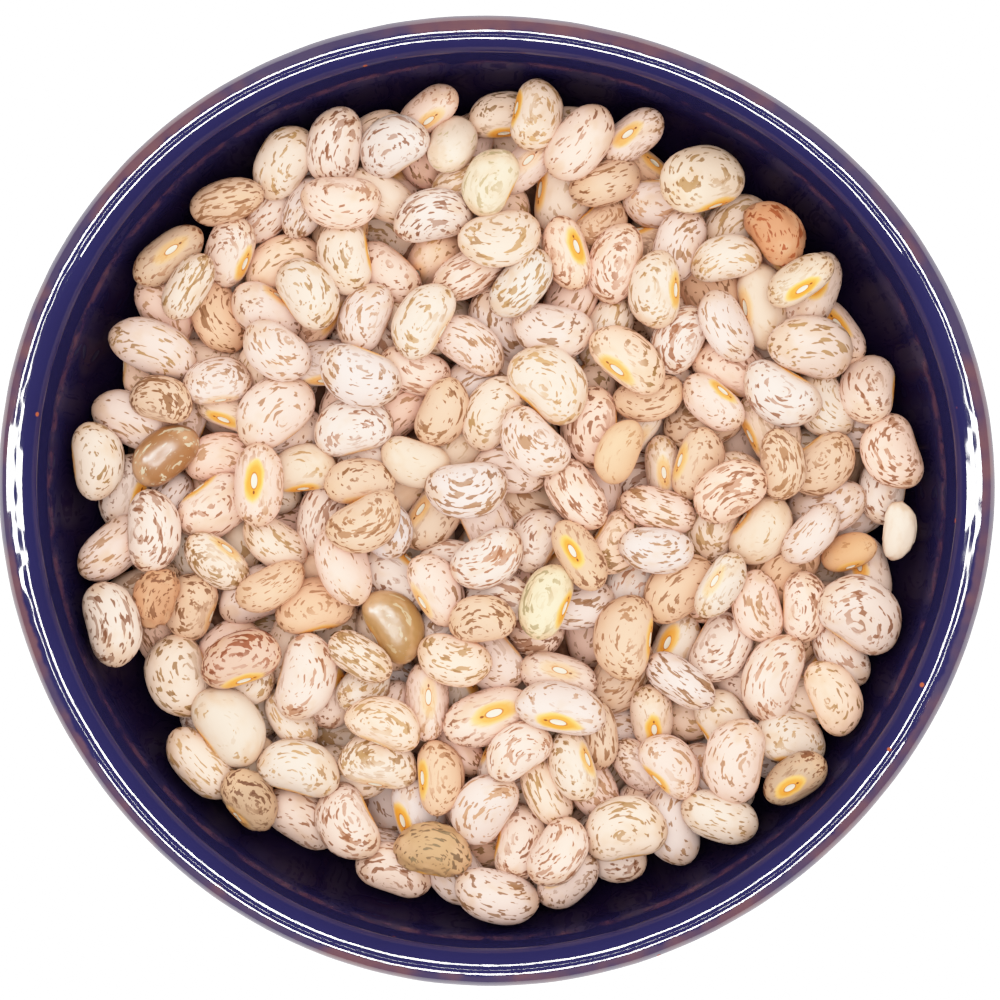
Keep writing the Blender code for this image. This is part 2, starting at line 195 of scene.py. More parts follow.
# %% [markdown]
# ## Meshes from arrays
# The bowl and the beans have some hundreds of thousands of corners, so they are worked out as
# arrays of numbers and handed over whole. Each corner also carries values that its finish reads
# later, such as how far it is from the crest of the lip. Such values need no unwrapping.

# %% Make a piece from arrays
def piece_from_arrays(name, points, faces, values=None):
    """A smooth mesh object. values holds, by name, a number, a place or a colour for each corner."""
    mesh = bpy.data.meshes.new(name)
    mesh.from_pydata(points.tolist(), [], faces)
    for label, array in (values or {}).items():
        kind, key = {1: ("FLOAT", "value"), 2: ("FLOAT_VECTOR", "vector")}[array.ndim]
        layer = mesh.attributes.new(label, kind, "POINT")
        layer.data.foreach_set(key, array.astype(np.float32).ravel())
    mesh.shade_smooth()
    mesh.update()
    made = bpy.data.objects.new(name, mesh)
    bpy.context.scene.collection.objects.link(made)
    return made


def grid_faces(rows, columns):
    """Faces of rows of corners closed into rings, between a first and a last single corner."""
    last = rows * columns + 1
    faces = []
    for j in range(columns):
        after = (j + 1) % columns
        faces.append((0, 1 + j, 1 + after))
        faces.append((last, last - columns + after, last - columns + j))
        for i in range(rows - 1):
            a, b = 1 + i * columns, 1 + (i + 1) * columns
            faces.append((a + j, b + j, b + after, a + after))
    return faces


def waves(places, chance, count, low, high):
    """A smooth uneven field, about -1 to 1: plane waves, low to high radians for each unit."""
    way = chance.normal(size=(count, 3))
    way *= (chance.uniform(low, high, count) / np.linalg.norm(way, axis=1))[:, None]
    start = chance.uniform(0, 2 * math.pi, count)
    return np.sin(places @ way.T + start).sum(axis=1) / math.sqrt(count)


# %% [markdown]
# ## Turn the bowl
# Fingers leave low rings on a thrown wall, and a dipped glaze runs and gathers in soft swellings.
# Both are less than a fifth of a millimetre deep, but they break up the long highlights on the lip,
# so they belong in the surface. They go inwards, which keeps the bowl at its size. The lip also
# leans out a little, more on one side than on the other, and its bright lines show by how much.

# %% Turn the section, and let the glaze swell
BOWL_STEPS = 400
BOWL_SEED = 5
GLAZE_SWELL = 0.00004
SWELL_WAVES = (24, 300, 1100)
FINGER_RING_DEPTH = 0.00016
FINGER_RING_EVERY = 0.0062
FINGER_RINGS_FROM_CREST = (0.006, 0.012)
FINGER_RING_WAVES = (6, 8, 25)
LIP_LEAN = 0.00025
LIP_LEAN_CHANGE = 0.00040
LIP_LEAN_HEADING = math.radians(240)


def turned_points(section, steps):
    """Rings of points round the axis, with one point where the section starts and one at its end."""
    heading = np.arange(steps) * 2 * math.pi / steps
    rings = section[1:-1]
    x, y = np.outer(rings[:, 0], np.cos(heading)), np.outer(rings[:, 0], np.sin(heading))
    z = np.repeat(rings[:, 1:], steps, axis=1)
    body = np.stack([x, y, z], -1).reshape(-1, 3)
    return np.vstack([[0, 0, section[0, 1]], body, [0, 0, section[-1, 1]]])


def at_corners(along_section, steps):
    """One value of each point of the section, given to every corner of its ring."""
    return np.concatenate([along_section[:1], np.repeat(along_section[1:-1], steps), along_section[-1:]])


def section_outward(section):
    """Which way is out of the clay at each point of the section."""
    along = np.gradient(section, axis=0)
    out = np.stack([-along[:, 1], along[:, 0]], -1)
    return out / np.linalg.norm(out, axis=1)[:, None]


def make_bowl():
    step = np.r_[0, np.hypot(*np.diff(section, axis=0).T)]
    along = np.cumsum(step)
    from_crest = along - along[np.argmax(section[:, 1])]
    points = turned_points(section, BOWL_STEPS)
    outward = section_outward(section)
    out_r, out_z = at_corners(outward[:, 0], BOWL_STEPS), at_corners(outward[:, 1], BOWL_STEPS)
    chance = np.random.default_rng(BOWL_SEED)
    swell = (waves(points, chance, *SWELL_WAVES) - 2) * GLAZE_SWELL / 2
    crest_distance = at_corners(from_crest, BOWL_STEPS)
    wall = np.interp(np.abs(crest_distance), FINGER_RINGS_FROM_CREST, (0, 1))
    phase = 2 * math.pi * points[:, 2] / FINGER_RING_EVERY + waves(points, chance, *FINGER_RING_WAVES)
    swell -= wall * FINGER_RING_DEPTH * (0.5 + 0.5 * np.sin(phase))
    heading = np.arctan2(points[:, 1], points[:, 0])
    points[:, 0] += swell * out_r * np.cos(heading)
    points[:, 1] += swell * out_r * np.sin(heading)
    points[:, 2] += np.where(points[:, 2] > FOOT_HEIGHT, swell * out_z, 0)
    on_lip = np.clip((points[:, 2] - LIP_BOTTOM) / LIP_HALF_WIDTH, 0, 1)
    lean = on_lip**2 * (LIP_LEAN + LIP_LEAN_CHANGE * np.cos(heading - LIP_LEAN_HEADING))
    points[:, 0] += lean * np.cos(heading)
    points[:, 1] += lean * np.sin(heading)
    faces = grid_faces(len(section) - 2, BOWL_STEPS)
    return piece_from_arrays("glazed_bowl", pushed_out_of_round(points), faces, {
        "from_crest": crest_distance,
    })


bowl = make_bowl()
print("bowl:", len(bowl.data.polygons), "faces")


# %% [markdown]
# ## Sums on sockets
# A finish that varies needs sums, such as how near a point is to the lip and how thin the glaze is
# there. Written as Python on small wrapped sockets, those sums stay readable. Each sign adds
# a Math node, and anything else comes from one method that adds any node.

# %% Wrap a socket so that sums can be written on it
class Wire:
    """The output socket of a node. Sums on it add Math nodes to the same tree."""

    def __init__(self, finish, socket):
        self.finish, self.socket = finish, socket

    def sum(self, operation, *terms):
        return self.finish.node("Math", {"operation": operation}, dict(enumerate(terms)))

    def __add__(self, other):
        return self.sum("ADD", self, other)

    __radd__ = __add__

    def __sub__(self, other):
        return self.sum("SUBTRACT", self, other)

    def __rsub__(self, other):
        return self.sum("SUBTRACT", other, self)

    def __mul__(self, other):
        return self.sum("MULTIPLY", self, other)

    __rmul__ = __mul__

    def __truediv__(self, other):
        return self.sum("DIVIDE", self, other)

    def __rtruediv__(self, other):
        return self.sum("DIVIDE", other, self)

    def __pow__(self, other):
        return self.sum("POWER", self, other)

    def __rpow__(self, other):
        return self.sum("POWER", other, self)

    def __abs__(self):
        return self.sum("ABSOLUTE", self)

    def at_least(self, other):
        return self.sum("MAXIMUM", self, other)


class Finish:
    """A material in the making: its nodes, and the sockets of its shader."""

    def __init__(self, name, **constants):
        self.material = bpy.data.materials.new(name)
        self.material.use_nodes = True
        self.tree = self.material.node_tree
        self.shader = self.tree.nodes["Principled BSDF"]
        for socket, value in constants.items():
            self.shader.inputs[socket.replace("_", " ")].default_value = value

    def plug(self, socket, value):
        if isinstance(value, Wire):
            self.tree.links.new(value.socket, socket)
        elif isinstance(value, (tuple, list)) and len(value) == 3 and socket.type == "RGBA":
            socket.default_value = (*value, 1.0)
        else:
            socket.default_value = value

    def node(self, kind, settings=None, sockets=None, output=0):
        """Adds a node: first its settings, then the values or links of its sockets."""
        made = self.tree.nodes.new("ShaderNode" + kind)
        for setting, value in (settings or {}).items():
            setattr(made, setting, value)
        for socket, value in (sockets or {}).items():
            self.plug(made.inputs[socket], value)
        return Wire(self, made.outputs[output])

    def feed(self, socket, value):
        self.plug(self.shader.inputs[socket], value)


# %% Name the few nodes that the finishes use most
class Coat(Finish):
    """Short words for noises, thresholds and mixtures."""

    def value(self, label):
        return self.node("Attribute", {"attribute_name": label}, output="Fac")

    def place(self, label):
        return self.node("Attribute", {"attribute_name": label}, output="Vector")

    def apart(self, vector):
        """The three parts of a place, each as a wire."""
        return [self.node("SeparateXYZ", None, {0: vector}, output=part) for part in range(3)]

    def together(self, x, y, z):
        return self.node("CombineXYZ", None, {0: x, 1: y, 2: z})

    def noise(self, place, scale=1.0, detail=2.0, roughness=0.5, w=None):
        settings = {"noise_dimensions": "3D" if w is None else "4D"}
        sockets = {"Vector": place, "Scale": scale, "Detail": detail, "Roughness": roughness}
        if w is not None:
            sockets["W"] = w
        return self.node("TexNoise", settings, sockets, output="Fac")

    def rise(self, value, start, end):
        """0 below start, 1 above end, and a smooth rise between. With start above end it falls."""
        settings = {"interpolation_type": "SMOOTHSTEP"}
        return self.node("MapRange", settings, {"Value": value, "From Min": start, "From Max": end})

    def mixed(self, share, first, second):
        """The first colour, and as much of the second as share says."""
        settings = {"data_type": "RGBA"}
        return self.node("Mix", settings, {0: share, 6: first, 7: second}, output=2)

    def relief(self, height, depth):
        """Fine relief of a depth in metres, fed to the shader's normal."""
        sockets = {"Strength": 1.0, "Distance": depth, "Height": height}
        self.feed("Normal", self.node("Bump", None, sockets, output="Normal"))


BRIGHTNESS = 1.12
TONE_POWER = 2.6


def reflected(red, green, blue):
    """A colour as seen in the bright photo, 0 to 255, as the share that it reflects of the light."""
    levels = np.array([red, green, blue]) / 255
    seen = np.where(levels > 0.04045, ((levels + 0.055) / 1.055) ** 2.4, levels / 12.92)
    return tuple(float(1 - (1 - share) ** (1 / TONE_POWER)) / BRIGHTNESS for share in seen)


print("cream reflects", [round(v, 2) for v in reflected(240, 220, 200)])

# %% [markdown]
# ## The glaze
# The bowl was dipped in a dark blue glaze over red clay. The glaze pools to nearly black in the
# hollow and is bluest on the lip; its darkening down the wall is painted shade as well. It has run
# thin over the lip's outer half, where the clay shows through as a purple brown, and tiny pinholes
# show the bare clay. A worn line runs round the wall under the lip. All of these follow from how far
# a point is from the lip's crest. The gloss is a clear coat over the colour: strong on the lip and
# weaker on the wall, which mirrors less.

# %% Name the glaze's colours
LIP_NAVY = reflected(50, 48, 102)
# The deep navy is darker pooled glaze, and also painted shade down the wall.
DEEP_NAVY_AND_PAINTED_SHADE = reflected(24, 13, 42)
CLOUDED_NAVY = reflected(38, 28, 60)
THIN_PURPLE = reflected(88, 76, 106)
THIN_BROWN = reflected(128, 90, 96)
WORN_BROWN = reflected(118, 76, 92)
PINHOLE_CLAY = reflected(196, 108, 70)
BARE_CLAY = reflected(176, 104, 74)
print("glaze on the lip reflects", [round(v, 3) for v in LIP_NAVY])


# %% Mix the glaze
MILLIMETRE = 0.001
WORN_LINE_AT = -0.0138
PINHOLE_CELLS = 190.0


def make_glaze():
    """Coloured clay under a clear coat. Distances from the lip's crest are in millimetres."""
    glaze = Coat("navy_glaze", Specular_IOR_Level=0.0, Coat_IOR=1.5, Coat_Roughness=0.04)
    crest = glaze.value("from_crest") / MILLIMETRE
    place = glaze.node("TexCoord", output="Object")
    clouds = glaze.noise(place, 60, 3, 0.6)
    streaks = glaze.noise(place, 240, 4, 0.65)
    # Darker down the wall: deeper glaze, and painted shade where the wall falls into the hollow.
    depth = glaze.rise(crest + clouds * 5, -5.0, -20.0).at_least(glaze.rise(crest, 7.0, 12.0))
    colour = glaze.mixed(depth, LIP_NAVY, DEEP_NAVY_AND_PAINTED_SHADE)
    colour = glaze.mixed(clouds * 0.4, colour, CLOUDED_NAVY)

    thin = glaze.rise(crest + (streaks - 0.5) * 2, 0.2, 0.9)
    thin = thin * glaze.rise(crest + (clouds - 0.5) * 4, 5.2, 3.0)
    clay_tint = glaze.mixed(glaze.rise(clouds, 0.42, 0.64), THIN_PURPLE, THIN_BROWN)
    colour = glaze.mixed(thin * (0.55 + streaks * 0.6), colour, clay_tint)

    worn = glaze.rise(abs(crest - WORN_LINE_AT / MILLIMETRE + (clouds - 0.5) * 1.2), 1.7, 0.3)
    worn = worn * glaze.rise(streaks, 0.40, 0.66)
    colour = glaze.mixed(worn * 0.65, colour, WORN_BROWN)

    cells = {"Vector": place, "Scale": PINHOLE_CELLS}
    near_pinhole = glaze.node("TexVoronoi", None, cells, output="Distance")
    chosen = glaze.apart(glaze.node("TexVoronoi", None, cells, output="Color"))[0]
    pinhole = glaze.rise(near_pinhole, 0.09, 0.05) * glaze.rise(chosen, 0.80, 0.82)
    pinhole = pinhole * glaze.rise(abs(crest), 7.0, 5.0)
    colour = glaze.mixed(pinhole, colour, PINHOLE_CLAY)
    bare = glaze.rise(glaze.apart(place)[2] / MILLIMETRE, 1.1, 0.5)
    colour = glaze.mixed(bare, colour, BARE_CLAY)
    glaze.feed("Base Color", colour)

    wall = glaze.rise(crest, -0.8, -3.4)
    outside = glaze.rise(crest, 1.4, 5.0)
    gloss = 0.9 - wall * 0.52 - outside * 0.6 - thin * 0.1 - bare - pinhole
    glaze.feed("Coat Weight", gloss.at_least(0.0))
    glaze.feed("Roughness", 0.3 + clouds * 0.1 + (bare + pinhole) * 0.4)
    glaze.relief(streaks, 0.00010)
    return glaze.material


bowl.data.materials.append(make_glaze())
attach(bowl, "root")
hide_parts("bowl")
print("glaze mixed")

# %% [markdown]
# ## Pour the beans
# A heap looks right when each bean lies where it could have come to rest. The beans come down one
# by one on a height map of the bowl, each nudged and turned until it lies low. The draws of chance
# are seeded and come in the same order as in the solid heap, so the beans lie where its beans
# do. Those that the eye picks out are laid at their own places before the last ones are poured.

# %% Write down the heap's measures
HEAP_CENTRE_BELOW_RIM = 0.0128
HEAP_EDGE_BELOW_RIM = 0.0165
WALL_GAP = 0.0008
BEAN_LENGTH = 0.0131
BEAN_LENGTH_SPREAD = 0.0011
BEAN_LENGTH_RANGE = (0.0102, 0.0158)
WIDTH_SHARE = 0.665
THICKNESS_SHARE = 0.550
SHARE_SPREAD = 0.030
UNDER_BEANS = 270
TOP_BEANS = 95
BED_BELOW_HEAP = 0.0170
HEAP_SEED = 34
CELL = 0.0005
MAP_HALF_WIDTH = 0.0800
STENCIL_CELLS = 17
PLACES_TRIED = 60
SETTLING_STEPS = 90
STEP_CELLS = 2
LAST_SWING = math.radians(2)
FIRST_SWING = math.radians(11)
PRESSED_SHARE = 0.87
POURED_ROAM = 10
LAID_ROAM = 2
COVER_COST = 0.00012
CLEAR_OF_LIP = 0.0030
EDGEWISE_SHARE = 0.34
PITCH_SPREAD = math.radians(14)
ROLL_SPREAD = math.radians(26)

# Millimetres from the middle, heading and roll in degrees, length in millimetres
LANDMARK_BEANS = {
    "brown_flaked": (-53.7, 7.8, 18, 15, 12.6),
    "olive_brown": (-16.5, -19.4, -62, -40, 13.2),
    "plain_orange": (18.8, 9.2, 62, 30, 11.4),
    "small_orange": (59.2, -9.5, -50, 20, 9.8),
    "peeled_half": (65.5, -4.2, -62, 35, 12.0),
    "pale_cream": (-6.7, 57.4, -80, 10, 13.0),
    "pale_green": (-1.1, 52.9, 55, 0, 11.8),
    "yellow_green": (7.0, -15.7, 60, -50, 13.0),
    "red_eyed_tan": (-55.6, 39.4, 50, -70, 14.0),
    "orange_streaked": (46.6, 43.0, -68, 40, 13.0),
    "wrinkled_tan": (-11.6, -58.5, 8, 10, 13.2),
    "split_coat": (-41.3, -48.0, -40, -50, 12.6),
    "wrinkled_orange": (-54.9, -15.0, 65, 60, 11.0),
    "red_mottled": (-41.0, -27.0, 5, -50, 14.0),
    "broad_pink_left": (-55.4, 25.8, -6, 5, 15.4),
    "broad_pink_right": (50.3, 25.8, -12, 5, 15.8),
    "broad_cream": (32.4, 51.6, 47, -40, 15.8),
    "broad_speckled": (-62.1, -19.0, -43, 8, 14.6),
    "broad_marked": (59.6, -19.3, -25, 0, 15.2),
    "dark_ended": (13.9, -10.0, -72, -65, 13.4),
    "golden_eyed": (50.7, 36.8, 62, -70, 12.6),
    "tan_eyed": (49.5, -44.6, 60, -75, 12.4),
}
print(UNDER_BEANS + len(LANDMARK_BEANS) + TOP_BEANS, "beans to pour")


# %% Size and turn one bean
def heap_height(radius):
    """Height of the heap's gently crowned top at this radius."""
    drop = HEAP_EDGE_BELOW_RIM - HEAP_CENTRE_BELOW_RIM
    return BOWL_HEIGHT - HEAP_CENTRE_BELOW_RIM - drop * (radius / HOLLOW_RADIUS) ** 2


def room_to_wall(points):
    """How far each point of an array lies inside the hollow's wall, sideways."""
    middle_x, middle_y = rim_middle()
    height = points[:, 2] / BOWL_HEIGHT
    x, y = points[:, 0] + height * middle_x, points[:, 1] + height * middle_y
    below_lip = np.clip((LIP_BOTTOM - points[:, 2]) / HOLLOW_DEPTH, 0, 1)
    wall = HOLLOW_RADIUS * (1 - below_lip**HOLLOW_POWER) ** (1 / HOLLOW_POWER)
    return wall * (1 + height * out_of_round(np.arctan2(y, x))) - np.hypot(x, y)


def turn_matrix(axis, angle):
    """Rotation matrix about an axis, as an array."""
    return np.array(Matrix.Rotation(angle, 3, Vector(axis)))


def attitude_of(heading, pitch, roll):
    """A bean's length turned to its heading and tipped, and then the bean rolled about it."""
    level = turn_matrix((0, 0, 1), heading) @ turn_matrix((0, 1, 0), pitch)
    return level @ turn_matrix((1, 0, 0), roll)


def bean_size(chance, length=None):
    """Half the length, width and thickness of one bean."""
    drawn = np.clip(chance.normal(BEAN_LENGTH, BEAN_LENGTH_SPREAD), *BEAN_LENGTH_RANGE)
    length = length or drawn
    width = length * chance.normal(WIDTH_SHARE, SHARE_SPREAD)
    thickness = length * chance.normal(THICKNESS_SHARE, SHARE_SPREAD)
    return np.array([length, width, thickness]) / 2


def drawn_attitude(chance):
    """Most beans lie on a broad side, and some stand on an edge."""
    heading = chance.uniform(0, 2 * math.pi)
    pitch = chance.normal(0, PITCH_SPREAD)
    edgewise = chance.random() < EDGEWISE_SHARE
    roll = chance.normal(math.radians(90) if edgewise else 0, ROLL_SPREAD)
    return attitude_of(heading, pitch, -roll if chance.random() < 0.5 else roll)


def ellipsoid_skins(attitude, half, dx, dy):
    """Lower and upper height of a turned ellipsoid over offsets from its centre, and where it is."""
    form = attitude @ np.diag(1 / half**2) @ attitude.T
    across = form[0, 2] * dx + form[1, 2] * dy
    level = form[0, 0] * dx**2 + 2 * form[0, 1] * dx * dy + form[1, 1] * dy**2 - 1
    under_root = across**2 - form[2, 2] * level
    inside = under_root > 0
    root = np.sqrt(np.where(inside, under_root, 0))
    return inside, (-across - root) / form[2, 2], (-across + root) / form[2, 2]


# %% Let the beans down on a height map
class Heap:
    """Beans let down one by one on a height map, each settling where it comes to lie lowest."""

    def __init__(self):
        self.chance = np.random.default_rng(HEAP_SEED)
        self.middle = int(MAP_HALF_WIDTH / CELL)
        self.along = np.arange(-self.middle, self.middle + 1) * CELL
        x, y = np.meshgrid(self.along, self.along, indexing="ij")
        wall, self.radius = self.hollow_map(x, y)
        self.level = heap_height(self.radius)
        self.surface = np.maximum(wall, self.level - BED_BELOW_HEAP)
        self.owner = np.full(x.shape, -1)
        self.kept_clear = np.zeros(x.shape, dtype=bool)
        near = np.arange(-STENCIL_CELLS, STENCIL_CELLS + 1) * CELL
        self.dx, self.dy = np.meshgrid(near, near, indexing="ij")
        view = np.lib.stride_tricks.sliding_window_view
        self.around = view(self.surface, self.dx.shape)
        self.clear_around = view(self.kept_clear, self.dx.shape)
        turn, tilt = np.meshgrid(np.radians(range(0, 360, 20)), np.radians(range(-90, 91, 15)))
        ring = np.cos(tilt)
        self.skin = np.stack([np.sin(tilt), ring * np.cos(turn), ring * np.sin(turn)], -1).reshape(-1, 3)
        self.beans = []
        self.landmarks = {}

    @staticmethod
    def hollow_map(x, y):
        """Height of the bowl's wall over each cell, and the cell's radius on a true circle."""
        middle_x, middle_y = rim_middle()
        fill_share = 1 - HEAP_EDGE_BELOW_RIM / BOWL_HEIGHT
        px, py = x + fill_share * middle_x, y + fill_share * middle_y
        round_share = 1 + fill_share * out_of_round(np.arctan2(py, px))
        radius = np.hypot(px, py) / round_share
        wall = hollow_height(radius + WALL_GAP)
        outside = radius > HOLLOW_RADIUS - WALL_GAP
        return np.where(outside, BOWL_HEIGHT * 2, wall), radius

    def in_map(self, cell):
        """A cell number kept a bean's reach inside the map."""
        return np.clip(cell, STENCIL_CELLS, 2 * self.middle - STENCIL_CELLS)

    def cell(self, distance):
        """The map's cell at a distance from the middle."""
        return self.in_map(self.middle + np.rint(distance / CELL).astype(int))

    def skins_of(self, attitude, half):
        return ellipsoid_skins(attitude, half, self.dx, self.dy)

    def resting_height(self, i, j, skins):
        """Height at which a bean's centre comes to rest over a cell, and what it would hide."""
        inside, lower, _ = skins
        held = self.around[i - STENCIL_CELLS, j - STENCIL_CELLS] - lower
        height = np.where(inside, held, -1.0).max(axis=(-1, -2))
        hidden = (self.clear_around[i - STENCIL_CELLS, j - STENCIL_CELLS] & inside).sum(axis=(-1, -2))
        return height, height + hidden * COVER_COST

    def settle(self, start_i, start_j, attitude, half, roam):
        """Nudges a bean's place and attitude, keeps what lowers it, and lays it on the map."""
        pressed = half * PRESSED_SHARE
        i, j = start_i, start_j
        skins = self.skins_of(attitude, pressed)
        height, cost = self.resting_height(i, j, skins)
        for step in range(SETTLING_STEPS):
            calm = 1 - step / SETTLING_STEPS
            angle = self.chance.normal(0, LAST_SWING + (FIRST_SWING - LAST_SWING) * calm)
            swing = turn_matrix(self.chance.normal(size=3), angle)
            step_i, step_j = self.chance.integers(-STEP_CELLS, STEP_CELLS + 1, 2)
            new_i = self.in_map(np.clip(i + step_i, start_i - roam, start_i + roam))
            new_j = self.in_map(np.clip(j + step_j, start_j - roam, start_j + roam))
            tried = swing @ attitude
            new_skins = self.skins_of(tried, pressed)
            new_height, new_cost = self.resting_height(new_i, new_j, new_skins)
            if new_cost < cost:
                i, j, attitude, skins = new_i, new_j, tried, new_skins
                height, cost = new_height, new_cost
        inside, _, upper = self.skins_of(attitude, half)
        rows = slice(i - STENCIL_CELLS, i + STENCIL_CELLS + 1)
        columns = slice(j - STENCIL_CELLS, j + STENCIL_CELLS + 1)
        patch = self.surface[rows, columns]
        patch[inside] = np.maximum(patch, height + upper)[inside]
        self.owner[rows, columns][inside] = len(self.beans)
        centre = np.array([self.along[i], self.along[j], float(height)])
        short = WALL_GAP - room_to_wall(centre + self.skin * half @ attitude.T).min()
        if short > 0:
            centre[:2] *= 1 - short / np.hypot(*centre[:2])
        self.beans.append((centre, attitude, half))
        return rows, columns, inside

    def pour(self, count):
        """Beans dropped where the heap is lowest, out of a few places tried for each."""
        room = HOLLOW_RADIUS - CLEAR_OF_LIP
        for _ in range(count):
            half = bean_size(self.chance)
            attitude = drawn_attitude(self.chance)
            skins = self.skins_of(attitude, half * PRESSED_SHARE)
            reach = room * np.sqrt(self.chance.random(PLACES_TRIED))
            heading = self.chance.uniform(0, 2 * math.pi, PLACES_TRIED)
            i, j = self.cell(reach * np.cos(heading)), self.cell(reach * np.sin(heading))
            cost = self.resting_height(i, j, skins)[1] - self.level[i, j]
            best = np.argmin(cost)
            self.settle(int(i[best]), int(j[best]), attitude, half, POURED_ROAM)

    def lay(self, name, x, y, heading, roll, length):
        """One bean laid at a stated place, which those poured after it keep off."""
        half = bean_size(self.chance, length / 1000)
        attitude = attitude_of(math.radians(heading), 0.0, math.radians(roll))
        i, j = int(self.cell(x / 1000)), int(self.cell(y / 1000))
        self.landmarks[len(self.beans)] = name
        rows, columns, inside = self.settle(i, j, attitude, half, LAID_ROAM)
        self.kept_clear[rows, columns] |= inside

    def cells_seen(self):
        """How many of the map's cells each bean shows from above."""
        return np.bincount(self.owner[self.owner >= 0], minlength=len(self.beans))


# %% Pour, lay the picked ones, and pour again
heap = Heap()
heap.pour(UNDER_BEANS)
for name, spot in LANDMARK_BEANS.items():
    heap.lay(name, *spot)
heap.pour(TOP_BEANS)
print(len(heap.beans), "beans,", int((heap.cells_seen() > 24).sum()), "of them plain to see from above")

# %% [markdown]
# ## One bean's form
# A pinto bean is a plump oval, fullest towards its ends, with a flatter side where the seed's eye
# sits. The eye is a small white oval with a raised edge, in a shallow dip. The mesh has its pole at
# the eye, so that its closest rings are where the finest detail is. Every bean has its own
# fullness, its own bend and its own dents.

# %% Lay rings of corners round the eye
EYE_RINGS = np.radians([
    3, 5.5, 7.5, 9, 10.5, 12, 14, 17, 21, 26, 32, 39, 47, 56, 66, 77, 88, 99, 110, 121, 132, 143,
    154, 164, 173,
])
RING_CORNERS = 34


def unit_corners():
    """Corners on a ball: rings from the eye at -Y to the back at +Y, and one at each of the two."""
    turn = np.arange(RING_CORNERS) * 2 * math.pi / RING_CORNERS
    reach = np.sin(EYE_RINGS)[:, None]
    x, z = reach * np.cos(turn), reach * np.sin(turn)
    y = np.repeat(-np.cos(EYE_RINGS)[:, None], RING_CORNERS, axis=1)
    rings = np.stack([x, y, z], -1).reshape(-1, 3)
    return np.vstack([[0, -1, 0], rings, [0, 1, 0]])


UNIT = unit_corners()
BEAN_FACES = grid_faces(len(EYE_RINGS), RING_CORNERS)
print("corners on one bean:", len(UNIT), "faces:", len(BEAN_FACES))


# %% Shape one bean
EYE_HALF_LENGTH = 0.175
EYE_HALF_WIDTH = 0.125
EYE_PIT = 0.00010
EYE_EDGE = 0.00007
EYE_DIP = 0.00016
FLAT_SIDE = 0.12
FULLNESS = (0.31, 0.07)
FULLNESS_RANGE = (0.10, 0.48)
BROADER_END_SPREAD = 0.028
BEND = (0.20, 0.06)
BEND_RANGE = (0.06, 0.34)
DENT = 0.007
DENT_WAVES = (8, 1.2, 2.8)
FOLD_WAVES = (9, 5, 9)


def eye_relief(x, y, z):
    """How far the skin stands out round the seed's eye."""
    near = np.hypot(x / EYE_HALF_LENGTH, z / EYE_HALF_WIDTH) + np.where(y > 0, 9, 0)
    pit = np.clip(1 - near, 0, 1) ** 0.5
    edge = np.exp(-(((near - 1.15) / 0.16) ** 2))
    dip = np.exp(-((near / 2.6) ** 2))
    return EYE_EDGE * edge - EYE_PIT * pit - EYE_DIP * dip


def bean_form(half, chance, wrinkles=0.0, halved=False):
    """The corners of one bean about its own middle, in metres."""
    x, y, z = UNIT.T
    fullness = 1 + np.clip(chance.normal(*FULLNESS), *FULLNESS_RANGE) * (x**2 - x**4)
    broader_end = 1 + chance.normal(0, BROADER_END_SPREAD) * x
    bend = np.clip(chance.normal(*BEND), *BEND_RANGE)
    width = fullness * broader_end
    thick = np.where(z < 0, FLAT_SIDE, 1) * z if halved else z * width
    form = half * np.stack([x, y * width - bend * (x**2 - 0.4), thick], -1)
    form *= 1 + DENT * waves(UNIT, chance, *DENT_WAVES)[:, None]
    if wrinkles:
        folds = 1 - np.abs(waves(UNIT * (1, 1.6, 1.6), chance, *FOLD_WAVES))
        form *= 1 - wrinkles * np.clip(folds, 0, 1)[:, None] ** 2
    if not halved:
        form[:, 1] -= eye_relief(x, y, z)
    return form


print("an eye is", round(2 * EYE_HALF_LENGTH * BEAN_LENGTH / 2 * 1000, 2), "mm long")


# %% [markdown]
# ## Sort the beans
# In one sack no two pinto beans match: most are cream or pink with olive-brown dashes, some are
# tan, and some have only fine specks. A few are plain orange, brown, pale, wrinkled or peeled. Each
# sort becomes one joined mesh, and every bean carries its own ground colour, mark colour and
# character as values on its corners, so that one finish can paint them all differently.

# %% Say what each sort looks like
class Look:
    """How a bean looks: its ground and marks, how marked it is, and how golden round the eye."""

    def __init__(self, sort, ground, marks, marked=0.5, golden=0.5, wrinkles=0.0):
        self.sort, self.ground, self.marks = sort, reflected(*ground), reflected(*marks)
        self.marked, self.golden, self.wrinkles = marked, golden, wrinkles


OLIVE_BROWN = (206, 162, 102)
RED_BROWN = (184, 116, 68)
DARK_BROWN = (158, 98, 58)

